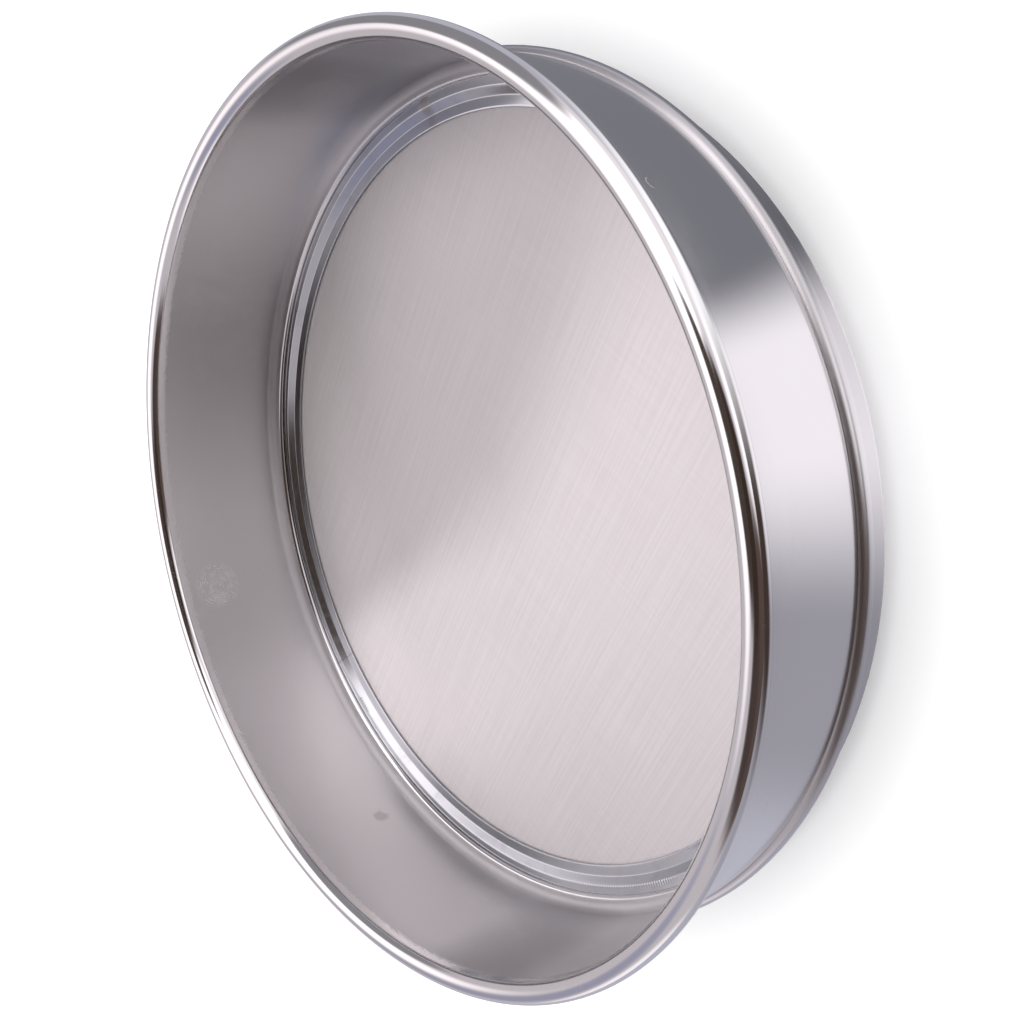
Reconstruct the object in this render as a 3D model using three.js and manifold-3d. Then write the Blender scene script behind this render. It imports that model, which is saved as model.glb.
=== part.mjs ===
// Round test sieve, 200 mm class: a drawn steel frame with a rolled rim, a nesting skirt, and a
// woven wire cloth clamped between a retaining ring and a support ring.
// Millimetres, +Z up. The origin is the centre of the circle that the skirt stands on.

import * as THREE from 'three';
import { mergeVertices } from 'three/addons/utils/BufferGeometryUtils.js';
import Module from 'manifold-3d';

// ---- driving dimensions ----

const SHEET = 0.5; // thickness of every rolled or drawn steel sheet
const GAP = 0.2; // clearance left between pieces that touch
const TURNS = 60; // flat facets round the axis

const WALL_TOP_R = 100; // inner radius at the mouth: 200 mm nominal bore
const WALL_BASE_R = 99.4; // inner radius at the foot of the wall, after its draft
const RIM_TUBE_R = 2.5; // outer radius of the rolled rim's section
const RIM_Z = 45.5; // height of the rolled rim's centre
const CURL_END = -120; // degrees, where the rolled edge stops inside the roll

const FOOT_FILLET_R = 2.4; // radius of the hollow where the wall turns inwards
const NOSE_R = 0.75; // radius of the rounded nose that holds the ring down
const NOSE_EDGE_R = 96.05; // radius of the nose's turned-down edge
const NOSE_EDGE_Z = 9.05;

const SKIRT_R = 97.3; // outer radius of the nesting skirt
const SHOULDER_R = 101.5; // largest radius of the shoulder bead
const SHOULDER_Z = 11.1; // height of the shoulder bead's centre
const SHOULDER_TUBE_R = 2.1; // outer radius of the bead's section
const SHOULDER_LIP = 62; // degrees, where the bead's lip stops against the wall
const SKIRT_FLARE_R = 1;

const CLOTH_T = 0.25; // the woven cloth is two wires thick
const CLOTH_Z = 6.5; // underside of the cloth
const CLOTH_R = 96.2;

const RING_BORE_R = 89.2; // open radius of the retaining ring
const RING_BEND_R = 91.7; // where its flange starts to rise
const RING_FILLET_R = 0.8;
const RING_SLOPE = 36; // degrees, the lean of the sloped part between its two bends
const RING_LEDGE_BEND_R = 0.65;
const RING_RISE = 1.4; // height of the ledge over the flange
const RING_OUTER_R = 96.55;
const RING_JOINT = 0.3; // width of the butt joint between the ring's two ends
const RING_JOINT_AZIMUTH = 112; // degrees

const SUPPORT_BORE_R = 90.2;
const SUPPORT_OUTER_R = 96.55;
const SUPPORT_DEPTH = 3.3;

const SOLDER_WIDTH = 0.9;
const SOLDER_HEIGHT = 1.3;

const half = SHEET / 2;

// ---- profiles: (radius, height) points in the plane of the axis ----

// Points on an arc, from one angle in degrees to another.
function arc(centreR, centreZ, radius, from, to, steps) {
  return Array.from({ length: steps + 1 }, (_, i) => {
    const angle = THREE.MathUtils.degToRad(from + ((to - from) * i) / steps);
    return new THREE.Vector2(
      centreR + radius * Math.cos(angle),
      centreZ + radius * Math.sin(angle),
    );
  });
}

// Closed outline of a sheet that follows a centre line: the line moved half the sheet's thickness
// to one side, and back along the other side.
function sheetOutline(line) {
  const normals = line.map((point, i) => {
    const before = line[Math.max(i - 1, 0)];
    const after = line[Math.min(i + 1, line.length - 1)];
    const along = after.clone().sub(before).normalize();
    return new THREE.Vector2(-along.y, along.x);
  });
  const left = line.map((point, i) => point.clone().addScaledVector(normals[i], half));
  const right = line.map((point, i) => point.clone().addScaledVector(normals[i], -half));
  return [...left, ...right.reverse()];
}

// A closed outline turned about the Z axis. The outline is taken anticlockwise in the (r, z)
// plane, so that the faces point out.
function turned(outline) {
  const ring = THREE.ShapeUtils.isClockWise(outline) ? [...outline].reverse() : outline;
  const geometry = new THREE.LatheGeometry([...ring, ring[0].clone()], TURNS);
  geometry.rotateX(Math.PI / 2);
  return geometry;
}

// ---- pieces ----

// Rolled rim, tapered wall, hollow foot fillet, and the nose whose edge turns down on the ring.
function upperFrame() {
  const rollR = RIM_TUBE_R - half;
  const rimCentreR = WALL_TOP_R + RIM_TUBE_R;
  const baseR = WALL_BASE_R + half;
  const noseTop = NOSE_EDGE_Z + NOSE_R;
  const filletZ = noseTop + FOOT_FILLET_R;
  return turned(sheetOutline([
    ...arc(rimCentreR, RIM_Z, rollR, CURL_END, 180, 10),
    ...arc(baseR - FOOT_FILLET_R, filletZ, FOOT_FILLET_R, 0, -90, 4),
    ...arc(NOSE_EDGE_R + NOSE_R, NOSE_EDGE_Z, NOSE_R, 90, 180, 3),
  ]));
}

// Skirt that drops inside the sieve below, flared out into the shoulder bead, whose lip closes
// on the wall.
function lowerSkirt() {
  const skirtR = SKIRT_R - half;
  const beadR = SHOULDER_TUBE_R - half;
  const flareZ = SHOULDER_Z - beadR - SKIRT_FLARE_R;
  return turned(sheetOutline([
    new THREE.Vector2(skirtR, 0),
    ...arc(skirtR + SKIRT_FLARE_R, flareZ, SKIRT_FLARE_R, 180, 90, 3),
    ...arc(SHOULDER_R - SHOULDER_TUBE_R, SHOULDER_Z, beadR, -90, SHOULDER_LIP, 8),
  ]));
}

// Flat disc that stands for the woven cloth.
function meshCloth() {
  const geometry = new THREE.CylinderGeometry(CLOTH_R, CLOTH_R, CLOTH_T, TURNS);
  geometry.rotateX(Math.PI / 2);
  geometry.translate(0, 0, CLOTH_Z + CLOTH_T / 2);
  return geometry;
}

// Pressed ring: flat flange on the cloth, a slope between two bends, and a ledge under the
// frame's nose. It is bent from a strip, so a narrow butt joint is cut through it.
function retainingRing() {
  const flangeZ = CLOTH_Z + CLOTH_T + GAP + half;
  const ledgeZ = flangeZ + RING_RISE;
  const slope = THREE.MathUtils.degToRad(RING_SLOPE);
  const bends = RING_FILLET_R + RING_LEDGE_BEND_R;
  const straightRise = RING_RISE - bends * (1 - Math.cos(slope));
  const ledgeBendR = RING_BEND_R + bends * Math.sin(slope) + straightRise / Math.tan(slope);
  const whole = turned(sheetOutline([
    new THREE.Vector2(RING_BORE_R, flangeZ),
    ...arc(RING_BEND_R, flangeZ + RING_FILLET_R, RING_FILLET_R, -90, RING_SLOPE - 90, 3),
    ...arc(ledgeBendR, ledgeZ - RING_LEDGE_BEND_R, RING_LEDGE_BEND_R, 90 + RING_SLOPE, 90, 3),
    new THREE.Vector2(RING_OUTER_R, ledgeZ),
  ]));
  const cutter = new THREE.BoxGeometry(20, RING_JOINT, 10);
  cutter.translate(RING_OUTER_R - 5, 0, flangeZ);
  cutter.rotateZ(THREE.MathUtils.degToRad(RING_JOINT_AZIMUTH));
  return cut(whole, cutter);
}

// Angle ring under the cloth: a flat flange, and a leg that stands in the skirt.
function supportRing() {
  const top = CLOTH_Z - GAP;
  return turned([
    new THREE.Vector2(SUPPORT_BORE_R, top),
    new THREE.Vector2(SUPPORT_BORE_R, top - SHEET),
    new THREE.Vector2(SUPPORT_OUTER_R - SHEET, top - SHEET),
    new THREE.Vector2(SUPPORT_OUTER_R - SHEET, top - SUPPORT_DEPTH),
    new THREE.Vector2(SUPPORT_OUTER_R, top - SUPPORT_DEPTH),
    new THREE.Vector2(SUPPORT_OUTER_R, top),
  ]);
}

// Solder fillet that keeps the support ring up: it fills the corner under the ring's leg, against
// the inside of the skirt.
function solderSeal() {
  const outerR = SKIRT_R - SHEET - GAP;
  const top = CLOTH_Z - GAP - SUPPORT_DEPTH - GAP;
  return turned([
    new THREE.Vector2(outerR, top),
    new THREE.Vector2(outerR - SOLDER_WIDTH, top),
    new THREE.Vector2(outerR - SOLDER_WIDTH / 2, top - SOLDER_HEIGHT / 2),
    new THREE.Vector2(outerR, top - SOLDER_HEIGHT),
  ]);
}

// ---- cutting ----

const wasm = await Module();
wasm.setup();

function toManifold(geometry) {
  const bare = geometry.clone();
  bare.deleteAttribute('normal');
  bare.deleteAttribute('uv');
  const merged = mergeVertices(bare, 1e-4);
  return new wasm.Manifold(new wasm.Mesh({
    numProp: 3,
    vertProperties: new Float32Array(merged.attributes.position.array),
    triVerts: new Uint32Array(merged.index.array),
  }));
}

function cut(geometry, cutter) {
  const mesh = toManifold(geometry).subtract(toManifold(cutter)).getMesh();
  const result = new THREE.BufferGeometry();
  result.setAttribute('position', new THREE.BufferAttribute(mesh.vertProperties, 3));
  result.setIndex(new THREE.BufferAttribute(mesh.triVerts, 1));
  result.computeVertexNormals();
  return result;
}

// ---- finishes and assembly ----

const polishedSteel = { color: 0xc4c4ca, roughness: 0.12, metalness: 1 };
const ringSteel = { color: 0xb4b5bf, roughness: 0.2, metalness: 1 };
const wireCloth = { color: 0xcfc8c6, roughness: 0.5, metalness: 0.8 };
const solder = { color: 0x8d8f94, roughness: 0.45, metalness: 0.9 };

function piece(name, geometry, finish) {
  const mesh = new THREE.Mesh(geometry, new THREE.MeshStandardMaterial(finish));
  mesh.name = name;
  return mesh;
}

const sieve = new THREE.Group();
sieve.add(
  piece('upper_frame', upperFrame(), polishedSteel),
  piece('lower_skirt', lowerSkirt(), polishedSteel),
  piece('mesh_cloth', meshCloth(), wireCloth),
  piece('retaining_ring', retainingRing(), ringSteel),
  piece('support_ring', supportRing(), ringSteel),
  piece('solder_seal', solderSeal(), solder),
);

export default sieve;
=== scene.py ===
"""Looks of a round test sieve: bright plated sheet steel, a fine wire cloth and its rings.

Every piece but the cloth is a section turned about the upright axis, worked out in the (radius,
height) plane from arcs and straight lines. The cloth is a height field on a polar grid. All lengths
are metres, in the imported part's own frame: the origin is under the middle of the skirt, +Z is up.
"""

import bpy
import numpy as np
from mathutils import Matrix, Vector


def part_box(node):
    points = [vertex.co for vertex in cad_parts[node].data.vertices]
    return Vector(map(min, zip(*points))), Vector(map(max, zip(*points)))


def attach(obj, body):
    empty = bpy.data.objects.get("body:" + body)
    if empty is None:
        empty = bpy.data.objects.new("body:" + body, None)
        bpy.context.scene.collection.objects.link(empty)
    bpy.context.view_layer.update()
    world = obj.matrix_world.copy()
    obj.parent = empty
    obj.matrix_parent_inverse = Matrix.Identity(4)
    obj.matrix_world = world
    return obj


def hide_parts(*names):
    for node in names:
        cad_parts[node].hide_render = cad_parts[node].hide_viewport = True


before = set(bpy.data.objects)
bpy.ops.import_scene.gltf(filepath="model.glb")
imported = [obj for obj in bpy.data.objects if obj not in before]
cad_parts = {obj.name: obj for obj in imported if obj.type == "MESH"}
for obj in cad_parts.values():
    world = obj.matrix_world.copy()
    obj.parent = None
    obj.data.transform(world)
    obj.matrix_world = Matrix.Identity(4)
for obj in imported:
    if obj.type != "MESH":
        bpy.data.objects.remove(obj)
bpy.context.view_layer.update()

MM = 0.001


# ---------------------------------------------------------------- sizes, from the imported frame

_, rim_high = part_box("upper_frame")
skirt_low, skirt_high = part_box("lower_skirt")
cloth_low, cloth_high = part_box("mesh_cloth")
ring_low, ring_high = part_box("retaining_ring")
support_low, support_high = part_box("support_ring")
solder_low, solder_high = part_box("solder_seal")

SHEET = 0.5 * MM
RIM_R = rim_high[0]  # over the rolled rim
RIM_TOP = rim_high[2]
RIM_TUBE = 2.5 * MM
WALL_TOP_R = RIM_R - 2 * RIM_TUBE  # bore at the mouth
WALL_BASE_R = WALL_TOP_R - 0.6 * MM
SHOULDER_R = skirt_high[0]
SHOULDER_TUBE = 2.1 * MM
SHOULDER_Z = 11.1 * MM
SKIRT_R = 97.3 * MM
RING_BORE = 89.2 * MM
FOOT_FILLET = 2.4 * MM  # hollow where the wall turns inwards
NOSE = 0.75 * MM  # rounded nose that holds the ring down
NOSE_EDGE = (96.05 * MM, 9.05 * MM)  # radius and height of its turned-down edge
RIM_CURL = -120  # degrees round the roll where its curled edge stops
SHOULDER_LIP = 75  # degrees round the bead where its lip stops
SKIRT_FLARE = 1.0 * MM
FLANGE_R = 91.7 * MM  # where the retaining ring's flange starts to rise
RING_HOLLOW = 0.8 * MM  # radius of the bend from its flange to its slope
RING_BEND = 0.65 * MM  # radius of the bend from its slope to its ledge
RING_SLOPE = 36  # degrees
SUPPORT_BORE = 90.2 * MM
SUPPORT_BEND = 0.6 * MM
SOLDER_WIDTH = 0.9 * MM
EDGE_ROUND = 0.55  # how far a sheet's rounded edge stands out, over half its thickness


# ---------------------------------------------------------------- camera

SENSOR = 36.0
LENS_RATIO = 1.1748  # focal length over the sensor's width
CAMERA_AT = Vector((0.0, -2.098, 1.394)) * RIM_R + Vector((0.0, 0.0, RIM_TOP - RIM_TUBE))
CAMERA_RIGHT = Vector((-0.2232, -0.6311, -0.7430))
CAMERA_BACK = Vector((0.0107, -0.7637, 0.6455))


def make_camera():
    """The camera looks down across the sieve, rolled so that the sieve's mouth faces
    the left of the view."""
    data = bpy.data.cameras.new("camera")
    data.sensor_width = SENSOR
    data.lens = LENS_RATIO * SENSOR
    data.clip_start = 0.01
    camera = bpy.data.objects.new("camera", data)
    back = CAMERA_BACK.normalized()
    up = back.cross(CAMERA_RIGHT).normalized()
    right = up.cross(back)
    turn = Matrix((right, up, back)).transposed().to_4x4()
    camera.matrix_world = Matrix.Translation(CAMERA_AT) @ turn
    bpy.context.collection.objects.link(camera)
    bpy.context.scene.camera = camera


make_camera()


# ---------------------------------------------------------------- sections

def arc(centre, radius, start, end, steps):
    """Points of a circular arc: centre + radius (cos a, sin a), a going evenly from start to end
    in degrees."""
    angle = np.radians(np.linspace(start, end, steps + 1))
    return np.stack([centre[0] + radius * np.cos(angle), centre[1] + radius * np.sin(angle)], 1)


def line(start, end, steps):
    """Evenly spaced points from start towards end, without the end itself."""
    share = np.linspace(0, 1, steps, endpoint=False)[:, None]
    return np.asarray(start) * (1 - share) + np.asarray(end) * share


def sheet_section(centre_line, thickness, edge_steps=4):
    """Closed outline of a sheet along a centre line: the line moved half the thickness to its left,
    a rounded end, the line moved to its right taken backwards, and a second rounded end.
    Returns the outline and, for each of its points, the share of the centre line passed, negative
    on the right side."""
    points = np.asarray(centre_line)
    along = np.gradient(points, axis=0)
    along /= np.linalg.norm(along, axis=1)[:, None]
    left = np.stack([-along[:, 1], along[:, 0]], 1)
    half = thickness / 2

    def cap(at, forward, side):
        """A rounded end, flatter than a half circle."""
        a = np.linspace(0, np.pi, edge_steps + 2)[1:-1, None]
        return at + half * (np.cos(a) * side + EDGE_ROUND * np.sin(a) * forward)

    length = np.r_[0, np.cumsum(np.linalg.norm(np.diff(points, axis=0), axis=1))]
    share = length / length[-1]
    outline = np.concatenate([
        points + half * left,
        cap(points[-1], along[-1], left[-1]),
        (points - half * left)[::-1],
        cap(points[0], -along[0], -left[0]),
    ])
    passed = np.r_[share, np.ones(edge_steps), -share[::-1], np.zeros(edge_steps)]
    return outline, passed


# ---------------------------------------------------------------- surfaces

def new_mesh(name, points, quads, uv=None, flat=0, **masks):
    """A smooth mesh object from arrays of points and four-cornered faces, of which the last few
    may be flat. uv holds one pair for each face corner, and each mask one value for each point."""
    mesh = bpy.data.meshes.new(name)
    mesh.vertices.add(len(points))
    mesh.vertices.foreach_set("co", np.ascontiguousarray(points, dtype=np.float32).ravel())
    corners = np.ascontiguousarray(quads, dtype=np.int32)
    mesh.loops.add(corners.size)
    mesh.loops.foreach_set("vertex_index", corners.ravel())
    mesh.polygons.add(len(corners))
    mesh.polygons.foreach_set("loop_start", np.arange(0, corners.size, 4, dtype=np.int32))
    mesh.update(calc_edges=True)
    if uv is not None:
        layer = mesh.uv_layers.new(name="surface")
        layer.data.foreach_set("uv", np.ascontiguousarray(uv, dtype=np.float32).ravel())
    for mask, values in masks.items():
        held = mesh.attributes.new(mask, "FLOAT", "POINT")
        held.data.foreach_set("value", np.ascontiguousarray(values, dtype=np.float32))
    smooth = np.ones(len(corners), dtype=bool)
    smooth[len(corners) - flat:] = False
    mesh.polygons.foreach_set("use_smooth", smooth)
    mesh.validate()
    piece = bpy.data.objects.new(name, mesh)
    bpy.context.collection.objects.link(piece)
    return piece


def turned(name, outline, azimuths, closed=True, press=None, **masks):
    """A section turned about the Z axis: point (i, j) is (r_j cos a_i, r_j sin a_i, z_j). The
    outline runs anticlockwise in the (r, z) plane. press(a, r, z) may move the section's points,
    and returns new r and z. Without closed, the two end sections are filled in."""
    area = np.sum(outline[:, 0] * np.roll(outline[:, 1], -1)
                  - np.roll(outline[:, 0], -1) * outline[:, 1])
    if area < 0:
        outline = outline[::-1]
        masks = {key: np.asarray(value)[::-1] for key, value in masks.items()}
    rows, cols = len(azimuths), len(outline)
    a = np.asarray(azimuths)[:, None]
    r = np.broadcast_to(outline[:, 0], (rows, cols))
    z = np.broadcast_to(outline[:, 1], (rows, cols))
    if press is not None:
        r, z = press(a, r, z)
    points = np.stack([r * np.cos(a), r * np.sin(a), z + 0 * a], 2).reshape(-1, 3)
    last = rows if closed else rows - 1
    i, j = np.meshgrid(np.arange(last), np.arange(cols), indexing="ij")
    i_next, j_next = (i + 1) % rows, (j + 1) % cols
    quads = np.stack([
        i * cols + j, i_next * cols + j, i_next * cols + j_next, i * cols + j_next,
    ], 2).reshape(-1, 4)
    turn = np.r_[np.asarray(azimuths), azimuths[0] + 2 * np.pi]
    edge = np.linalg.norm(np.roll(outline, -1, axis=0) - outline, axis=1)
    run = np.r_[0, np.cumsum(edge)]
    u0, u1 = turn[i] * RIM_R, turn[i + 1] * RIM_R
    v0, v1 = run[j], run[j + 1]
    uv = np.stack([u0, v0, u1, v0, u1, v1, u0, v1], 2).reshape(-1, 4, 2)
    sides = len(quads)
    if not closed:
        quads, uv = with_ends(quads, uv, rows, cols, outline)
    spread = {key: np.tile(np.asarray(value), rows) for key, value in masks.items()}
    return new_mesh(name, points, quads, uv, flat=len(quads) - sides, **spread)


def with_ends(quads, uv, rows, cols, outline):
    """Fills the first and last sections of an open turn with strips that join the outline's two
    sides, point k to point -k."""
    k = np.arange(cols // 2 - 1)
    strip = np.stack([k, k + 1, cols - 2 - k, cols - 1 - k], 1)
    first = strip
    final = (rows - 1) * cols + strip[:, ::-1]
    flat = outline[strip]
    return (np.concatenate([quads, first, final]),
            np.concatenate([uv, flat, flat[:, ::-1]]))


def even_turn(steps):
    """Azimuths of a whole turn in equal steps."""
    return np.linspace(0, 2 * np.pi, steps, endpoint=False)


# ---------------------------------------------------------------- pieces

def step(x, low, high):
    """Smooth rise from 0 at low to 1 at high."""
    t = np.clip((x - low) / (high - low), 0, 1)
    return t * t * (3 - 2 * t)


def upper_frame():
    """Section: the rolled rim as 300 degrees of a circle, a straight tapered wall, a quarter-round
    hollow at its foot, and a small quarter-round nose whose edge turns down on the ring."""
    half = SHEET / 2
    roll = RIM_TUBE - half
    rim_centre = (RIM_R - RIM_TUBE, RIM_TOP - RIM_TUBE)
    base_r = WALL_BASE_R + half
    foot_z = NOSE_EDGE[1] + NOSE + FOOT_FILLET
    wall_top = (rim_centre[0] - roll, rim_centre[1])
    centre_line = np.concatenate([
        arc(rim_centre, roll, RIM_CURL, 180, 46)[:-1],
        line(wall_top, (base_r, foot_z), 12),
        arc((base_r - FOOT_FILLET, foot_z), FOOT_FILLET, 0, -90, 12),
        arc((NOSE_EDGE[0] + NOSE, NOSE_EDGE[1]), NOSE, 90, 180, 9),
    ])
    outline, passed = sheet_section(centre_line, SHEET)
    r, z = outline.T
    rim = step(z, RIM_TOP - 2.1 * RIM_TUBE, RIM_TOP - 1.3 * RIM_TUBE)
    nose_share = step(-r, -96.6 * MM, -96.3 * MM)
    inside = (passed < 0).astype(float)
    satin = inside * (1 - rim) * (1 - nose_share)
    roll_share = step(z, RIM_TOP - 2.3 * RIM_TUBE, RIM_TOP - 1.9 * RIM_TUBE)
    piece = turned("upper_frame_shell", outline, even_turn(560), satin=satin,
                   wall=(1 - inside) * (1 - roll_share) + 0.5 * roll_share,
                   foot=satin * step(-z, -foot_z, -foot_z + FOOT_FILLET / 2))
    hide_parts("upper_frame")
    return piece


def lower_skirt():
    """Section: a straight skirt, a small quarter-round flare, and the shoulder bead as 165 degrees
    of a circle whose lip closes on the wall."""
    half = SHEET / 2
    skirt_r, bead, flare = SKIRT_R - half, SHOULDER_TUBE - half, SKIRT_FLARE
    flare_z = SHOULDER_Z - bead - flare
    bead_centre = (SHOULDER_R - SHOULDER_TUBE, SHOULDER_Z)
    level = SHOULDER_Z - bead
    centre_line = np.concatenate([
        line((skirt_r, skirt_low[2] + 0.6 * half), (skirt_r, flare_z), 14),
        arc((skirt_r + flare, flare_z), flare, 180, 90, 9)[:-1],
        line((skirt_r + flare, level), (bead_centre[0], level), 3),
        arc(bead_centre, bead, -90, SHOULDER_LIP, 30),
    ])
    outline, passed = sheet_section(centre_line, SHEET)
    z = outline[:, 1]
    piece = turned("nesting_skirt", outline, even_turn(640), satin=(passed < 0) * 1.0,
                   wall=step(-z, -SHOULDER_Z, -SHOULDER_Z + SHOULDER_TUBE))
    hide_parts("lower_skirt")
    return piece


PRESS_MARKS = (  # centre azimuth and width in degrees, pitch and depth in metres
    (-3.5, 3.0, 0.7 * MM, 0.11 * MM),
    (45.6, 2.2, 0.7 * MM, 0.11 * MM),
    (121.3, 3.8, 0.8 * MM, 0.15 * MM),
    (187.0, 27.0, 0.8 * MM, 0.09 * MM),
)
PRESS_MARK_R = 94.2 * MM
RING_JOINT_AZIMUTH = 112.0
RING_JOINT_HALF_WIDTH = 0.05 * MM


def ring_azimuths():
    """Azimuths from one end of the bent ring to the other: even steps, with finer ones wherever
    the press tool has left its marks."""
    start = np.radians(RING_JOINT_AZIMUTH) + RING_JOINT_HALF_WIDTH / RING_BORE
    end = start + 2 * np.pi - 2 * RING_JOINT_HALF_WIDTH / RING_BORE
    lip = 0.03 * MM / RING_BORE  # a short first and last step keeps the shading square at the ends
    parts = [np.linspace(start, end, 500), [start + lip, end - lip]]
    for centre, width, pitch, _ in PRESS_MARKS:
        middle = np.radians(centre)
        middle += 2 * np.pi * (middle < start)
        reach = np.radians(width) / 2
        parts.append(np.arange(middle - reach, middle + reach, pitch / 6 / RING_BORE))
    return np.unique(np.concatenate(parts))


def pressed(a, r, z):
    """Press marks: on the upper bend of the ring the surface dips by a comb, depth times a raised
    cosine along the azimuth, faded out at the ends of each mark and away from the bend."""
    dip = 0 * a
    for centre, width, pitch, depth in PRESS_MARKS:
        off = (a - np.radians(centre) + np.pi) % (2 * np.pi) - np.pi
        fade = step(-np.abs(off), -np.radians(width) / 2, -np.radians(width) / 3)
        comb = 0.5 - 0.5 * np.cos(2 * np.pi * off * RING_BORE / pitch)
        dip = dip + depth * fade * comb
    bend = np.exp(-((r - PRESS_MARK_R) / (0.5 * MM)) ** 2)
    return r + 0.6 * dip * bend, z - dip * bend


def retaining_ring():
    """Section: a flat flange on the cloth, a small bend up to a 36 degree slope, the straight
    slope, a small bend back, and a flat ledge under the frame's nose. The strip's two ends meet
    in a fine butt joint."""
    half = SHEET / 2
    flange_z, ledge_z = ring_low[2] + half, ring_high[2] - half
    slope, bends = np.radians(RING_SLOPE), RING_HOLLOW + RING_BEND
    rise = ledge_z - flange_z - bends * (1 - np.cos(slope))
    ledge_r = FLANGE_R + bends * np.sin(slope) + rise / np.tan(slope)
    low_bend = arc((FLANGE_R, flange_z + RING_HOLLOW), RING_HOLLOW, -90, RING_SLOPE - 90, 9)
    high_bend = arc((ledge_r, ledge_z - RING_BEND), RING_BEND, 90 + RING_SLOPE, 90, 9)
    centre_line = np.concatenate([
        line((RING_BORE + 0.6 * half, flange_z), (FLANGE_R, flange_z), 6),
        low_bend[:-1],
        line(low_bend[-1], high_bend[0], 6),
        high_bend[:-1],
        line((ledge_r, ledge_z), (ring_high[0] - half, ledge_z), 5),
        [(ring_high[0] - half, ledge_z)],
    ])
    outline, _ = sheet_section(centre_line, SHEET)
    piece = turned("retaining_ring_strip", outline, ring_azimuths(), closed=False, press=pressed)
    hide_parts("retaining_ring")
    return piece


def support_ring():
    """Section: an angle, with a level flange under the cloth and a leg that stands in the skirt,
    joined by a quarter-round bend."""
    half = SHEET / 2
    top = support_high[2] - half
    leg_r = support_high[0] - half
    bend = SUPPORT_BEND
    end = (SUPPORT_BORE + 0.3 * half, top)
    centre_line = np.concatenate([
        line((leg_r, support_low[2] + 0.3 * half), (leg_r, top - bend), 6),
        arc((leg_r - bend, top - bend), bend, 0, 90, 9)[:-1],
        line((leg_r - bend, top), end, 6),
        [end],
    ])
    outline, _ = sheet_section(centre_line, SHEET)
    piece = turned("support_ring_angle", outline, even_turn(512))
    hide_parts("support_ring")
    return piece


def solder_seal():
    """Section: a hollow fillet between the ring's leg and the skirt. Its face is moved in and out
    round the turn by a sum of waves, as a hand-run bead of solder is."""
    corner = (solder_high[0], solder_high[2])
    width, height = SOLDER_WIDTH, solder_high[2] - solder_low[2]
    t = np.linspace(0, 1, 13)
    face = np.stack([corner[0] - width * (1 - t) ** 1.6, corner[1] - height * t ** 1.6], 1)
    outline = np.concatenate([face, [[corner[0], corner[1]]]])

    def lumps(a, r, z):
        """Adds to the radius, most at the face's inner edge and not at all in the corner."""
        inner = np.clip((corner[0] - r) / width, 0, 1)
        swell = 0.5 + 0.5 * np.sin(61 * a + 2 * np.sin(7 * a)) * np.sin(23 * a + 1)
        return r + inner * (0.25 * MM) * swell, z + 0 * a

    piece = turned("solder_bead", outline, even_turn(720), press=lumps)
    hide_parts("solder_seal")
    return piece


def wire_cloth():
    """Height field on a polar grid: the cloth is level at its clamped edge and very slightly
    uneven inside, a sum of a few slow waves. The top and bottom sheets meet in a square edge."""
    rings, turns = 72, 420
    radius = cloth_high[0] * 0.999
    share = np.linspace(0, 1, rings + 1)[1:]
    a = even_turn(turns)
    r, t = np.meshgrid(share * radius, a, indexing="ij")
    x, y = r * np.cos(t), r * np.sin(t)
    wave = (np.sin(x / (17 * MM) + 1) * np.sin(y / (23 * MM)) + 0.6 * np.sin((x + y) / (11 * MM)))
    lift = 0.03 * MM * wave * step(-r, -89 * MM, -70 * MM)
    top_z, bottom_z = cloth_high[2] - 0.06 * MM, cloth_low[2] + 0.06 * MM

    def layer(z):
        """One sheet of points at a height: the middle point, then the rings outwards."""
        flat = np.stack([x, y, z + lift], 2).reshape(-1, 3)
        return np.concatenate([[[0, 0, z]], flat])

    points = np.concatenate([layer(top_z), layer(bottom_z)])
    count = 1 + rings * turns
    i, j = np.meshgrid(np.arange(rings - 1), np.arange(turns), indexing="ij")
    j_next = (j + 1) % turns
    top = np.stack([1 + i * turns + j, 1 + (i + 1) * turns + j,
                    1 + (i + 1) * turns + j_next, 1 + i * turns + j_next], 2).reshape(-1, 4)
    bottom = top[:, ::-1] + count
    k = np.arange(turns)
    k_next = (k + 1) % turns
    rim = 1 + (rings - 1) * turns
    edge = np.stack([rim + k, rim + count + k, rim + count + k_next, rim + k_next], 1)
    pairs = np.arange(0, turns, 2)
    hub = np.stack([0 * pairs, 1 + pairs, 1 + pairs + 1, 1 + (pairs + 2) % turns], 1)
    quads = np.concatenate([top, bottom, edge, hub, hub[:, ::-1] + count])
    piece = new_mesh("woven_wire_cloth", points, quads)
    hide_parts("mesh_cloth")
    return piece


frame_shell = upper_frame()
skirt = lower_skirt()
ring = retaining_ring()
support = support_ring()
solder = solder_seal()
cloth = wire_cloth()

for piece in (frame_shell, skirt, ring, support, solder, cloth):
    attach(piece, "root")


# ---------------------------------------------------------------- shader helpers

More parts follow.
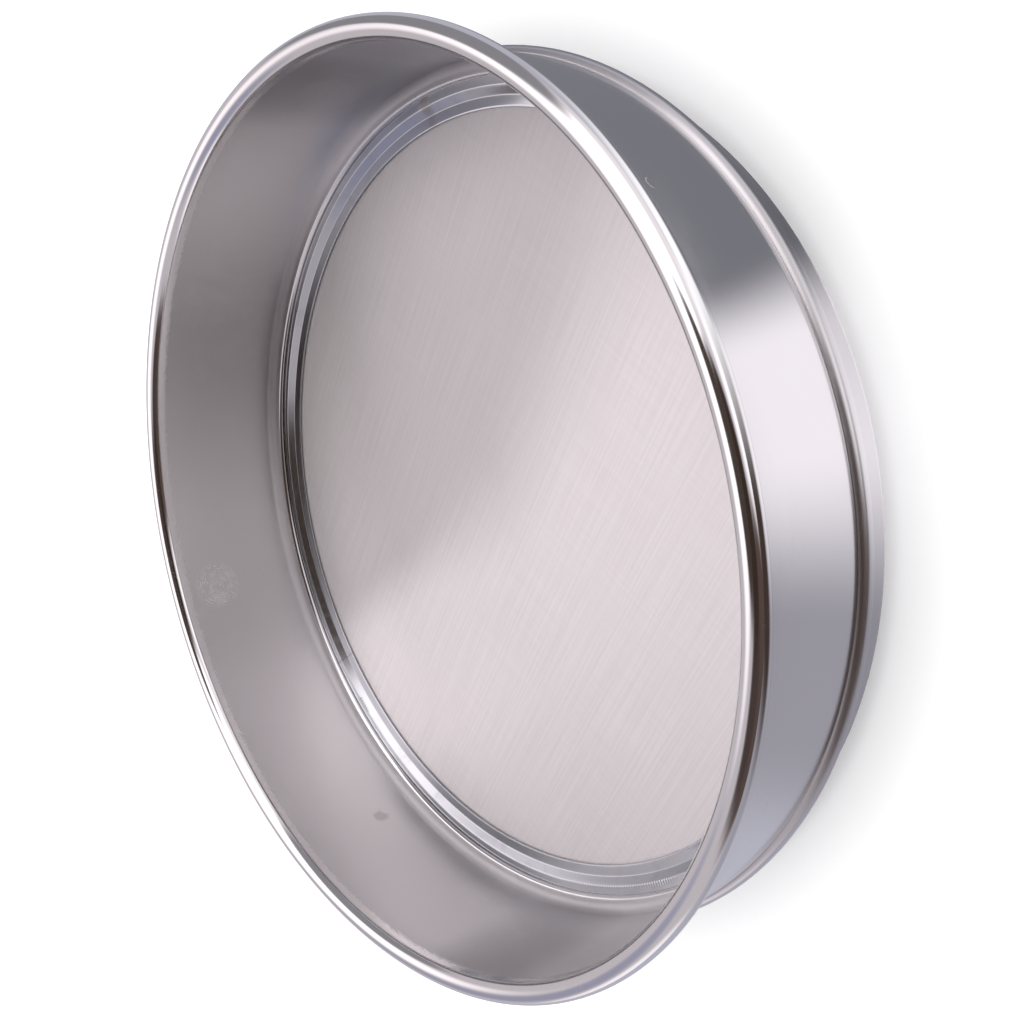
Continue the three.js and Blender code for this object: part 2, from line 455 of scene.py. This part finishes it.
class Nodes:
    """Short ways to add and join nodes in one node tree."""

    def __init__(self, tree):
        """Holds the tree that the nodes are added to."""
        self.tree = tree

    def add(self, kind, settings=None, **inputs):
        """A new node, with its settings and inputs given; an underscore stands for a space."""
        node = self.tree.nodes.new(kind)
        for key, value in (settings or {}).items():
            setattr(node, key, value)
        for key, value in inputs.items():
            self.put(node, key.replace("_", " "), value)
        return node

    def put(self, node, socket, value):
        """Joins an output to an input, or sets the input to a value."""
        target = node.inputs[socket]
        if isinstance(value, bpy.types.NodeSocket):
            self.tree.links.new(value, target)
        else:
            target.default_value = value

    def math(self, operation, *values):
        """The output of a math node."""
        node = self.tree.nodes.new("ShaderNodeMath")
        node.operation = operation
        for index, value in enumerate(values):
            self.put(node, index, value)
        return node.outputs[0]

    def mix(self, share, low, high):
        """A colour that goes from low to high as share goes from 0 to 1."""
        node = self.tree.nodes.new("ShaderNodeMix")
        node.data_type = "RGBA"
        for index, value in ((0, share), (6, low), (7, high)):
            self.put(node, index, value)
        return node.outputs[2]

    def spread(self, value, low, high, to_low, to_high):
        """A smooth step from to_low to to_high as value goes from low to high."""
        node = self.add("ShaderNodeMapRange", {"interpolation_type": "SMOOTHSTEP"})
        for index, number in enumerate((value, low, high, to_low, to_high)):
            self.put(node, index, number)
        return node.outputs[0]


def effect_group(name, takes, gives):
    """An empty shader node group with named number inputs and outputs. takes maps each input to
    its socket kind and default, gives maps each output to its kind."""
    tree = bpy.data.node_groups.new(name, "ShaderNodeTree")
    for label, (kind, default) in takes.items():
        socket = tree.interface.new_socket(label, in_out="INPUT", socket_type=kind)
        if default is not None:
            socket.default_value = default
    for label, kind in gives.items():
        tree.interface.new_socket(label, in_out="OUTPUT", socket_type=kind)
    start = tree.nodes.new("NodeGroupInput")
    end = tree.nodes.new("NodeGroupOutput")
    return Nodes(tree), start.outputs, end


FLOAT, VECTOR = "NodeSocketFloat", "NodeSocketVector"
SWIRL_PITCH = 0.7 * MM  # between one curved scratch of the wiped swirl and the next


def polish_lines_group():
    """Fine turning and polishing lines: noise stretched many times along the surface's first
    direction, in two widths. Gives a line value round 0.5."""
    n, start, end = effect_group(
        "polish_lines",
        {"Surface": (VECTOR, None), "Fineness": (FLOAT, 4000.0), "Length": (FLOAT, 60.0)},
        {"Lines": FLOAT},
    )
    split = n.add("ShaderNodeSeparateXYZ", Vector=start["Surface"])
    total = None
    for factor, weight in ((1.0, 0.6), (0.31, 0.4)):
        along = n.math("MULTIPLY", split.outputs["X"], n.math("MULTIPLY", start["Length"], factor))
        across = n.math("MULTIPLY", split.outputs["Y"], n.math("MULTIPLY", start["Fineness"], factor))
        place = n.add("ShaderNodeCombineXYZ", X=along, Y=across)
        noise = n.add("ShaderNodeTexNoise", Vector=place.outputs[0], Scale=1.0, Detail=3.0)
        part = n.math("MULTIPLY", noise.outputs["Fac"], weight)
        total = part if total is None else n.math("ADD", total, part)
    n.tree.links.new(total, end.inputs["Lines"])
    return n.tree


def handling_group():
    """Marks of handling: soft clouds of wiped haze, and short fine scratches where a thin band of
    one noise meets a patch of another. Gives a haze and a scratch mask, each 0 to 1."""
    n, start, end = effect_group(
        "handling_marks",
        {"Place": (VECTOR, None), "Haze Size": (FLOAT, 45.0), "Scratch Size": (FLOAT, 260.0)},
        {"Haze": FLOAT, "Scratches": FLOAT},
    )
    cloud = n.add("ShaderNodeTexNoise", Vector=start["Place"], Scale=start["Haze Size"],
                  Detail=5.0, Roughness=0.62, Distortion=0.6)
    n.tree.links.new(n.spread(cloud.outputs["Fac"], 0.5, 0.72, 0.0, 1.0), end.inputs["Haze"])
    thread = n.add("ShaderNodeTexNoise", Vector=start["Place"], Scale=start["Scratch Size"],
                   Detail=0.0, Distortion=1.4)
    off = n.math("ABSOLUTE", n.math("SUBTRACT", thread.outputs["Fac"], 0.5))
    thin = n.spread(off, 0.0, 0.006, 1.0, 0.0)
    patch = n.add("ShaderNodeTexNoise", Vector=start["Place"], Scale=start["Haze Size"], Detail=1.0)
    where = n.spread(patch.outputs["Fac"], 0.62, 0.7, 0.0, 1.0)
    n.tree.links.new(n.math("MULTIPLY", thin, where), end.inputs["Scratches"])
    return n.tree


def local_spot_group():
    """Where a place lies from a spot at an azimuth in degrees and a height. Up is its height over
    the spot. Away is its distance from the line through the spot along the spot's radius, and one
    metre more on the far side of the axis."""
    n, start, end = effect_group(
        "local_spot",
        {"Place": (VECTOR, None), "Azimuth": (FLOAT, 0.0), "Height": (FLOAT, 0.0)},
        {"Up": FLOAT, "Away": FLOAT},
    )
    back = n.math("MULTIPLY", start["Azimuth"], -np.pi / 180)
    facing = n.add("ShaderNodeVectorRotate", {"rotation_type": "Z_AXIS"},
                   Vector=start["Place"], Angle=back)
    split = n.add("ShaderNodeSeparateXYZ", Vector=facing.outputs[0])
    across = split.outputs["Y"]
    up = n.math("SUBTRACT", split.outputs["Z"], start["Height"])
    squares = n.math("ADD", n.math("MULTIPLY", across, across), n.math("MULTIPLY", up, up))
    behind = n.math("LESS_THAN", split.outputs["X"], 0.0)
    n.tree.links.new(up, end.inputs["Up"])
    n.tree.links.new(n.math("ADD", n.math("SQRT", squares), behind), end.inputs["Away"])
    return n.tree


def wiped_swirl_group():
    """A round patch of fine curved scratches: the crests of a sine over the distance from the
    middle, bent and broken by noise, and faded out at the patch's radius."""
    n, start, end = effect_group(
        "wiped_swirl",
        {"Place": (VECTOR, None), "Away": (FLOAT, 1.0), "Radius": (FLOAT, 0.007)},
        {"Scratches": FLOAT},
    )
    bend = n.add("ShaderNodeTexNoise", Vector=start["Place"], Scale=210.0, Detail=3.0).outputs["Fac"]
    gap = n.add("ShaderNodeTexNoise", Vector=start["Place"], Scale=900.0, Detail=2.0).outputs["Fac"]
    turns = n.math("MULTIPLY", start["Away"], 2 * np.pi / SWIRL_PITCH)
    phase = n.math("MULTIPLY_ADD", bend, 26.0, turns)
    crest = n.spread(n.math("SINE", phase), 0.0, 0.9, 0.0, 1.0)
    broken = n.math("MULTIPLY", crest, n.spread(gap, 0.42, 0.58, 0.0, 1.0))
    share = n.math("DIVIDE", start["Away"], start["Radius"])
    film = n.spread(bend, 0.45, 0.65, 0.0, 0.3)
    inside = n.spread(share, 0.65, 1.0, 1.0, 0.0)
    faded = n.math("MULTIPLY", n.math("MAXIMUM", broken, film), inside)
    n.tree.links.new(faded, end.inputs["Scratches"])
    return n.tree


def specks_group():
    """Loose specks: a small disc in the middle of a few of the cells of a cell pattern."""
    n, start, end = effect_group(
        "specks",
        {"Place": (VECTOR, None), "Fineness": (FLOAT, 150.0), "Size": (FLOAT, 0.00016)},
        {"Specks": FLOAT},
    )
    cells = n.add("ShaderNodeTexVoronoi", Vector=start["Place"], Scale=start["Fineness"])
    reach = n.math("MULTIPLY", start["Size"], start["Fineness"])
    dot = n.math("LESS_THAN", cells.outputs["Distance"], reach)
    red = n.add("ShaderNodeSeparateColor", Color=cells.outputs["Color"]).outputs[0]
    n.tree.links.new(n.math("MULTIPLY", dot, n.math("LESS_THAN", red, 0.3)), end.inputs["Specks"])
    return n.tree


def plain_weave_group():
    """Plain weave of round wires at a given pitch. Warp wires run along Y and weft along X. Each
    wire's height is a half-round across it, plus a cosine along it that swaps sign from one wire to
    the next; the cloth is the higher of the two. Gives the height and the share of open hole."""
    n, start, end = effect_group(
        "plain_weave",
        {"Place": (VECTOR, None), "Pitch": (FLOAT, 0.00025), "Wire": (FLOAT, 0.4)},
        {"Height": FLOAT, "Hole": FLOAT},
    )
    split = n.add("ShaderNodeSeparateXYZ", Vector=start["Place"])
    u = n.math("DIVIDE", split.outputs["X"], start["Pitch"])
    v = n.math("DIVIDE", split.outputs["Y"], start["Pitch"])
    half_wire = n.math("MULTIPLY", start["Wire"], 0.5)

    def wire(across, along, sign):
        """Height of one set of wires, and where they cover the cloth."""
        index = n.math("ROUND", across)
        off = n.math("DIVIDE", n.math("SUBTRACT", across, index), half_wire)
        left = n.math("SUBTRACT", 1.0, n.math("MULTIPLY", off, off))
        body = n.math("SQRT", n.math("MAXIMUM", left, 0.0))
        sway = n.math("COSINE", n.math("MULTIPLY", n.math("ADD", along, index), np.pi))
        lifted = n.math("MULTIPLY_ADD", sway, 0.5 * sign, n.math("MULTIPLY", body, 0.6))
        covered = n.math("GREATER_THAN", body, 0.0)
        return n.math("MULTIPLY", covered, n.math("ADD", lifted, 1.0)), covered

    warp, on_warp = wire(u, v, 1.0)
    weft, on_weft = wire(v, u, -1.0)
    n.tree.links.new(n.math("MAXIMUM", warp, weft), end.inputs["Height"])
    covered = n.math("MAXIMUM", on_warp, on_weft)
    n.tree.links.new(n.math("SUBTRACT", 1.0, covered), end.inputs["Hole"])
    return n.tree


POLISH_LINES = polish_lines_group()
HANDLING = handling_group()
PLAIN_WEAVE = plain_weave_group()
LOCAL_SPOT = local_spot_group()
WIPED_SWIRL = wiped_swirl_group()
SPECKS = specks_group()


def material(name):
    """A new node material. Returns it, its node helper and its Principled shader."""
    made = bpy.data.materials.new(name)
    made.use_nodes = True
    n = Nodes(made.node_tree)
    return made, n, made.node_tree.nodes["Principled BSDF"]


def use_group(n, tree, **inputs):
    """A node of one of the groups above. Returns its outputs."""
    node = n.add("ShaderNodeGroup", {"node_tree": tree})
    for key, value in inputs.items():
        n.put(node, key.replace("_", " "), value)
    return node.outputs


def bump(n, height, distance, strength):
    """Normals that a height shades, without moving the surface."""
    node = n.add("ShaderNodeBump", Height=height, Distance=distance, Strength=strength)
    return node.outputs["Normal"]


# ---------------------------------------------------------------- materials

BRIGHT_PLATE = (0.80, 0.795, 0.80, 1)
SATIN_PLATE = (0.67, 0.665, 0.675)
HAZE_TONE = (0.80, 0.79, 0.78, 1)
SMUDGE_TONE = (0.36, 0.31, 0.29, 1)
WIPE_TONE = (0.86, 0.85, 0.85, 1)
SPECK_TONE = (0.24, 0.22, 0.21, 1)
SCRATCH_TONE = (0.95, 0.95, 0.96, 1)
SWIRL_AT = (92.9, 35.5 * MM)  # azimuth in degrees and height of each mark
SMUDGE_AT = (139.8, 21.4 * MM)
WIPE_AT = (163, 16 * MM)
NICK_AT = (-62.5, 34.8 * MM)
SCORCH_AT = (-3.5, ring_high[2])
MIRROR_ROUGHNESS = 0.05  # of the bead and the nose

RING_PLATE = (0.56, 0.575, 0.60, 1)
RING_HAZE = (0.50, 0.51, 0.54, 1)
SCORCH_TONE = (0.36, 0.26, 0.20, 1)

WIRE_DULL = (0.730, 0.690, 0.70, 1)
WIRE_BRIGHT = (0.795, 0.758, 0.765, 1)
# painted shade: the dark of the space under the cloth, as seen through the weave's holes
SHADE_THROUGH_HOLES = (0.35, 0.33, 0.32, 1)
WARP_TURN = np.radians(48)


def spot(n, place, azimuth, height):
    """Where a place lies from one spot, given by its azimuth in degrees and its height."""
    return use_group(n, LOCAL_SPOT, Place=place, Azimuth=float(azimuth), Height=height)


def room_bands(n, place):
    """Slow light and dark bands round the satin wall, 1 + 0.2 cos 6(a - 20), that fade out towards
    -X, and a darkening at the two ends of the X axis. They stand for uneven light in the room: a
    painted look, not a known property of the plating."""
    split = n.add("ShaderNodeSeparateXYZ", Vector=place)
    x = split.outputs["X"]
    angle = n.math("ARCTAN2", split.outputs["Y"], x)
    wave = n.math("COSINE", n.math("MULTIPLY_ADD", angle, 6.0, -np.radians(120)))
    swing = n.spread(x, -40 * MM, 15 * MM, 0.0, 0.2)
    ends = n.spread(n.math("ABSOLUTE", x), 0.975 * WALL_TOP_R, WALL_TOP_R, 1.0, 0.70)
    return n.math("MULTIPLY", n.math("MULTIPLY_ADD", wave, swing, 1.0), ends)


def shaded(n, tint, share):
    """A colour made lighter or darker by a factor."""
    node = n.add("ShaderNodeVectorMath", {"operation": "SCALE"}, Scale=share)
    n.put(node, 0, tint)
    return node.outputs[0]


def plated_steel():
    """Bright plated sheet: mirror-like on the bead and the nose, a little softer on the rolled rim,
    softer again on the outer wall and the skirt, and satin inside, with turning lines, haze and
    marks of use."""
    made, n, shader = material("plated_steel")
    place = n.add("ShaderNodeTexCoord").outputs["Object"]
    surface = n.add("ShaderNodeUVMap", {"uv_map": "surface"}).outputs["UV"]
    satin = n.add("ShaderNodeAttribute", {"attribute_name": "satin"}).outputs["Fac"]
    wall = n.add("ShaderNodeAttribute", {"attribute_name": "wall"}).outputs["Fac"]
    foot = n.add("ShaderNodeAttribute", {"attribute_name": "foot"}).outputs["Fac"]
    lines = use_group(n, POLISH_LINES, Surface=surface, Fineness=5200.0, Length=70.0)["Lines"]
    marks = use_group(n, HANDLING, Place=place)
    ragged = n.add("ShaderNodeTexNoise", Vector=place, Scale=2600.0, Detail=3.0)
    fringe = n.math("MULTIPLY", n.math("SUBTRACT", ragged.outputs["Fac"], 0.5), 1.2)
    edge = n.math("ADD", satin, fringe)
    worn = n.spread(edge, 0.3, 0.7, 0.0, 1.0)

    swirl_away = spot(n, place, *SWIRL_AT)["Away"]
    swirl = use_group(n, WIPED_SWIRL, Place=place, Away=swirl_away, Radius=7.5 * MM)["Scratches"]
    blot = n.add("ShaderNodeTexNoise", Vector=place, Scale=420.0, Detail=2.0).outputs["Fac"]
    blot = n.math("MULTIPLY", n.math("SUBTRACT", blot, 0.5), 3.0 * MM)
    smudge_away = n.math("ADD", spot(n, place, *SMUDGE_AT)["Away"], blot)
    smudge = n.spread(smudge_away, 1.3 * MM, 2.4 * MM, 1.0, 0.0)
    wipe_away = n.math("ADD", spot(n, place, *WIPE_AT)["Away"], n.math("MULTIPLY", blot, 3.0))
    wipe = n.spread(wipe_away, 2.0 * MM, 9.0 * MM, 1.0, 0.0)
    nick_spot = spot(n, place, *NICK_AT)
    nick_off = n.math("ABSOLUTE", n.math("SUBTRACT", nick_spot["Away"], 1.3 * MM))
    nick = n.math("MULTIPLY", n.spread(nick_off, 0.05 * MM, 0.22 * MM, 1.0, 0.0),
                  n.spread(nick_spot["Up"], 0.0, 0.8 * MM, 0.0, 1.0))
    specks = n.math("MULTIPLY", use_group(n, SPECKS, Place=place)["Specks"], worn)
    outside = n.math("SUBTRACT", 1.0, worn)
    scratched = n.math("MAXIMUM", n.math("MULTIPLY", swirl, worn), n.math("MULTIPLY", nick, outside))

    tint = n.mix(worn, BRIGHT_PLATE, shaded(n, SATIN_PLATE, room_bands(n, place)))
    for mask, share, tone in (
        (marks["Haze"], 0.18, HAZE_TONE),
        (n.math("MULTIPLY", smudge, worn), 0.45, SMUDGE_TONE),
        (n.math("MULTIPLY", wipe, worn), 0.25, WIPE_TONE),
        (specks, 0.6, SPECK_TONE),
        (scratched, 0.85, SCRATCH_TONE),
    ):
        tint = n.mix(n.math("MULTIPLY", mask, share), tint, tone)
    n.put(shader, "Base Color", tint)
    n.put(shader, "Metallic", 1.0)
    rough = MIRROR_ROUGHNESS
    for mask, added in (
        (wall, 0.11),
        (worn, 0.25),
        (foot, 0.30),
        (marks["Haze"], 0.05),
        (n.math("MAXIMUM", marks["Scratches"], scratched), 0.2),
        (n.math("SUBTRACT", lines, 0.5), 0.08),
    ):
        rough = n.math("MULTIPLY_ADD", mask, added, rough)
    n.put(shader, "Roughness", rough)
    depth = n.math("MULTIPLY_ADD", worn, 0.9, 0.1)
    relief = n.math("MULTIPLY_ADD", scratched, 1.5, n.math("MULTIPLY", lines, depth))
    n.put(shader, "Normal", bump(n, relief, 0.012 * MM, 0.5))
    return made


def ring_steel():
    """Rolled strip: bright, bluish, with fine lines along the strip."""
    made, n, shader = material("ring_steel")
    place = n.add("ShaderNodeTexCoord").outputs["Object"]
    surface = n.add("ShaderNodeUVMap", {"uv_map": "surface"}).outputs["UV"]
    lines = use_group(n, POLISH_LINES, Surface=surface, Fineness=3800.0, Length=90.0)["Lines"]
    marks = use_group(n, HANDLING, Place=place, Haze_Size=90.0)
    tint = n.mix(marks["Haze"], RING_PLATE, RING_HAZE)
    scorch = n.spread(spot(n, place, *SCORCH_AT)["Away"], 0.6 * MM, 2.6 * MM, 0.45, 0.0)
    n.put(shader, "Base Color", n.mix(scorch, tint, SCORCH_TONE))
    n.put(shader, "Metallic", 1.0)
    rough = n.math("ADD", 0.14, n.math("MULTIPLY", marks["Haze"], 0.1))
    rough = n.math("ADD", rough, n.math("MULTIPLY", n.math("SUBTRACT", lines, 0.5), 0.15))
    n.put(shader, "Roughness", rough)
    n.put(shader, "Normal", bump(n, lines, 0.01 * MM, 0.4))
    return made


def cloth_light(n, place):
    """Brightness of the cloth, which falls from bright to dull over a slanting line, sharply at one
    end of that line and softly at the other, with a brighter crescent along one edge. It stands
    for light thrown down by the wall: a painted look, not a known property of the weave."""
    split = n.add("ShaderNodeSeparateXYZ", Vector=place)
    y = split.outputs["Y"]
    slant = n.math("MULTIPLY_ADD", y, 0.6, split.outputs["X"])
    off = n.math("MULTIPLY_ADD", n.math("ABSOLUTE", y), -0.3, slant)
    width = n.math("MAXIMUM", n.math("MULTIPLY_ADD", y, -0.55, 40 * MM), 18 * MM)
    level = n.spread(n.math("DIVIDE", off, width), -0.5, 0.5, 1.08, 0.79)
    crescent = n.spread(y, 45 * MM, 78 * MM, 1.0, 1.2)
    return n.math("MULTIPLY", level, crescent)


def wire_cloth_metal():
    """Fine plain-woven wire: pale, slightly warm, with faint reed marks along warp and weft."""
    made, n, shader = material("wire_cloth")
    place = n.add("ShaderNodeTexCoord").outputs["Object"]
    mapping, noise = "ShaderNodeMapping", "ShaderNodeTexNoise"
    laid = n.add(mapping, Vector=place, Rotation=(0.0, 0.0, WARP_TURN)).outputs[0]
    weave = use_group(n, PLAIN_WEAVE, Place=laid)
    long_way = n.add(mapping, Vector=laid, Scale=(30.0, 1600.0, 1.0)).outputs[0]
    cross_way = n.add(mapping, Vector=laid, Scale=(1100.0, 26.0, 1.0)).outputs[0]
    reed = n.add(noise, Vector=long_way, Scale=1.0, Detail=4.0).outputs["Fac"]
    pick = n.add(noise, Vector=cross_way, Scale=1.0, Detail=4.0).outputs["Fac"]
    streak = n.math("ADD", n.math("MULTIPLY", reed, 0.72), n.math("MULTIPLY", pick, 0.28))
    tint = n.mix(n.spread(streak, 0.3, 0.7, 0.0, 1.0), WIRE_DULL, WIRE_BRIGHT)
    # The holes are darkened with painted shade, which stands for the space under the cloth seen
    # through them.
    tint = n.mix(n.math("MULTIPLY", weave["Hole"], 0.30), tint, SHADE_THROUGH_HOLES)
    n.put(shader, "Base Color", shaded(n, tint, cloth_light(n, place)))
    n.put(shader, "Metallic", 0.75)
    n.put(shader, "Roughness", 0.5)
    n.put(shader, "Normal", bump(n, weave["Height"], 0.05 * MM, 0.35))
    return made


def solder_metal():
    """Wiped solder: dull grey, mottled."""
    made, n, shader = material("solder")
    place = n.add("ShaderNodeTexCoord").outputs["Object"]
    marks = use_group(n, HANDLING, Place=place, Haze_Size=400.0)
    n.put(shader, "Base Color", n.mix(marks["Haze"], (0.50, 0.51, 0.53, 1), (0.36, 0.36, 0.37, 1)))
    n.put(shader, "Metallic", 0.9)
    n.put(shader, "Roughness", n.math("ADD", 0.4, n.math("MULTIPLY", marks["Haze"], 0.2)))
    grain = n.add("ShaderNodeTexNoise", Vector=place, Scale=1500.0, Detail=4.0).outputs["Fac"]
    n.put(shader, "Normal", bump(n, grain, 0.05 * MM, 0.6))
    return made


steel, strip, woven, dull = plated_steel(), ring_steel(), wire_cloth_metal(), solder_metal()
for piece, finish in (
    (frame_shell, steel), (skirt, steel), (ring, strip),
    (support, strip), (solder, dull), (cloth, woven),
):
    piece.data.materials.append(finish)


# ---------------------------------------------------------------- floor and light

def pale_floor():
    """A level sheet of pale board, large enough to fill every view."""
    side = 6.0
    t = np.array([-side, side])
    x, y = np.meshgrid(t, t, indexing="ij")
    points = np.stack([x, y, 0 * x], 2).reshape(-1, 3)
    floor = new_mesh("floor", points, np.array([[0, 2, 3, 1]]))
    made, n, shader = material("pale_board")
    place = n.add("ShaderNodeTexCoord").outputs["Object"]
    grain = n.add("ShaderNodeTexNoise", Vector=place, Scale=3.0, Detail=4.0).outputs["Fac"]
    n.put(shader, "Base Color", n.mix(grain, (0.90, 0.90, 0.905, 1), (0.93, 0.93, 0.93, 1)))
    n.put(shader, "Roughness", 0.8)
    floor.data.materials.append(made)


def only_in_reflections(panel):
    """A studio panel that the metal mirrors, and that neither shows nor shades anything."""
    for sense in ("camera", "diffuse", "transmission", "volume_scatter", "shadow"):
        setattr(panel, "visible_" + sense, False)


def glowing(name):
    """A new material that only gives light. Returns it, its node helper and its emission node."""
    made = bpy.data.materials.new(name)
    made.use_nodes = True
    made.node_tree.nodes.clear()
    made.cycles.emission_sampling = "NONE"
    n = Nodes(made.node_tree)
    light = n.add("ShaderNodeEmission")
    end = n.add("ShaderNodeOutputMaterial")
    made.node_tree.links.new(light.outputs[0], end.inputs["Surface"])
    return made, n, light


TENT_R = 1.6
OVERHEAD_SIZE = 1.6
OVERHEAD_HEIGHT = 1.4
OVERHEAD_ENERGY = 13
WORLD_STRENGTH = 1.2
ROOM_TONE = (0.60, 0.555, 0.585, 1)
TENT_PATCHES = (  # name, azimuth, elevation, inner and outer spread in degrees, colour
    ("ceiling_bounce", 65, 62, 14, 36, (1.50, 1.39, 1.43, 1)),
    ("far_corner", 130, 32, 5, 24, (0.36, 0.355, 0.46, 1)),
    ("low_window", 160, 3, 6, 22, (1.15, 1.07, 1.13, 1)),
    ("side_window", 320, 26, 12, 34, (1.00, 0.94, 0.98, 1)),
    ("soft_box", 340, 55, 16, 34, (1.95, 1.82, 1.87, 1)),
    ("far_wall_low", 18, 20, 25, 34, (0.28, 0.27, 0.295, 1)),
    ("room_behind_camera", 226, 18, 24, 38, (0.10, 0.07, 0.06, 1)),
    ("dark_corner", 215, 45, 14, 28, (0.07, 0.05, 0.045, 1)),
    ("low_card", 282, 2, 14, 30, (1.30, 1.25, 1.28, 1)),
    ("dark_figure", 258, 54, 18, 27, (0.045, 0.028, 0.022, 1)),
    ("dark_ceiling", 270, 80, 16, 23, (0.07, 0.052, 0.045, 1)),
)


def light_tent():
    """Half a sphere round the sieve, R (cos e cos a, cos e sin a, sin e), that glows in a room's
    tone with soft round patches laid over it one after another."""
    a = np.linspace(0, 2 * np.pi, 49)
    e = np.linspace(0, np.pi / 2 - 0.01, 13)
    e, a = np.meshgrid(e, a, indexing="ij")
    points = TENT_R * np.stack([np.cos(e) * np.cos(a), np.cos(e) * np.sin(a), np.sin(e)], 2)
    rows, cols = a.shape
    i, j = np.meshgrid(np.arange(rows - 1), np.arange(cols - 1), indexing="ij")
    quads = np.stack([
        i * cols + j, (i + 1) * cols + j, (i + 1) * cols + j + 1, i * cols + j + 1,
    ], 2).reshape(-1, 4)
    tent = new_mesh("light_tent", points.reshape(-1, 3), quads)
    made, n, light = glowing("tent_glow")
    place = n.add("ShaderNodeTexCoord").outputs["Object"]
    toward = n.add("ShaderNodeVectorMath", {"operation": "NORMALIZE"}, Vector=place).outputs[0]
    colour = ROOM_TONE
    for _, azimuth, elevation, inner, outer, tone in TENT_PATCHES:
        az, el = np.radians(azimuth), np.radians(elevation)
        axis = (np.cos(el) * np.cos(az), np.cos(el) * np.sin(az), np.sin(el))
        close = n.add("ShaderNodeVectorMath", {"operation": "DOT_PRODUCT"})
        n.put(close, 0, toward)
        n.put(close, 1, axis)
        share = n.spread(close.outputs["Value"], float(np.cos(np.radians(outer))),
                         float(np.cos(np.radians(inner))), 0.0, 1.0)
        colour = n.mix(share, colour, tone)
    n.put(light, "Color", colour)
    tent.data.materials.append(made)
    only_in_reflections(tent)


CARD_INNER = 0.1235  # radius where the tones beside the sieve start to give way
CARD_OUTER = 0.16  # radius where the tones further out have taken over
WHITE_PAPER = (1.10, 1.05, 1.10, 1)
PALE_BOARD = (0.52, 0.52, 0.60, 1)
GREY_BOARD = (0.38, 0.37, 0.42, 1)
DARK_CLOTH = (0.21, 0.21, 0.24, 1)
BLACK_CLOTH = (0.06, 0.04, 0.035, 1)
SUNLIT_PAPER = (1.30, 1.28, 1.32, 1)
BY_THE_WALL = (  # azimuth in degrees, tone
    (-180, PALE_BOARD), (-150, PALE_BOARD), (-130, GREY_BOARD), (-114, GREY_BOARD),
    (-92, WHITE_PAPER), (-79, WHITE_PAPER), (-68, DARK_CLOTH), (0, DARK_CLOTH),
    (60, PALE_BOARD), (180, PALE_BOARD),
)
FURTHER_OUT = (
    (-180, PALE_BOARD), (-145, GREY_BOARD), (-120, BLACK_CLOTH), (-100, BLACK_CLOTH),
    (-60, SUNLIT_PAPER), (-20, PALE_BOARD), (180, PALE_BOARD),
)


def azimuth_ramp(n, place, stops):
    """Colour by azimuth, from stops that run from -180 to 180 degrees."""
    split = n.add("ShaderNodeSeparateXYZ", Vector=place)
    angle = n.math("ARCTAN2", split.outputs["Y"], split.outputs["X"])
    share = n.math("MULTIPLY_ADD", angle, 0.5 / np.pi, 0.5)
    ramp = n.add("ShaderNodeValToRGB", Fac=share)
    ramp.color_ramp.interpolation = "EASE"
    held = ramp.color_ramp.elements
    while len(held) < len(stops):
        held.new(0.5)
    for element, (azimuth, _) in zip(held, stops):
        element.position = azimuth / 360 + 0.5
    for element, (azimuth, tone) in zip(held, stops):
        element.position = azimuth / 360 + 0.5
        element.color = tone
    return ramp.outputs["Color"]


def ground_sheet():
    """A flat ring on the floor, (r cos a, r sin a), that glows by azimuth in one way beside the
    sieve and in another further out."""
    a = even_turn(96)
    r = np.geomspace(SKIRT_R, TENT_R, 24)
    r, t = np.meshgrid(r, a, indexing="ij")
    points = np.stack([r * np.cos(t), r * np.sin(t), 0 * r + 0.05 * MM], 2).reshape(-1, 3)
    rows, cols = r.shape
    i, j = np.meshgrid(np.arange(rows - 1), np.arange(cols), indexing="ij")
    j_next = (j + 1) % cols
    quads = np.stack([
        i * cols + j, (i + 1) * cols + j, (i + 1) * cols + j_next, i * cols + j_next,
    ], 2).reshape(-1, 4)
    sheet = new_mesh("ground_sheet", points, quads)
    made, n, light = glowing("ground_glow")
    place = n.add("ShaderNodeTexCoord").outputs["Object"]
    reach = n.add("ShaderNodeVectorMath", {"operation": "LENGTH"}, Vector=place).outputs["Value"]
    away = n.spread(reach, CARD_INNER, CARD_OUTER, 0.0, 1.0)
    near = azimuth_ramp(n, place, BY_THE_WALL)
    far = azimuth_ramp(n, place, FURTHER_OUT)
    n.put(light, "Color", n.mix(away, near, far))
    sheet.data.materials.append(made)
    only_in_reflections(sheet)


def overhead_light():
    """A broad soft light straight above, which the metal doesn't mirror."""
    data = bpy.data.lights.new("overhead", "AREA")
    data.size = OVERHEAD_SIZE
    data.energy = OVERHEAD_ENERGY
    lamp = bpy.data.objects.new("overhead", data)
    lamp.location = (0, 0, OVERHEAD_HEIGHT)
    lamp.visible_glossy = False
    bpy.context.collection.objects.link(lamp)


pale_floor()
light_tent()
ground_sheet()
overhead_light()

world = bpy.data.worlds.new("room")
world.use_nodes = True
background = world.node_tree.nodes["Background"].inputs
background["Color"].default_value = (1.0, 1.0, 1.0, 1)
background["Strength"].default_value = WORLD_STRENGTH
bpy.context.scene.world = world
bpy.context.scene.view_settings.view_transform = "Standard"
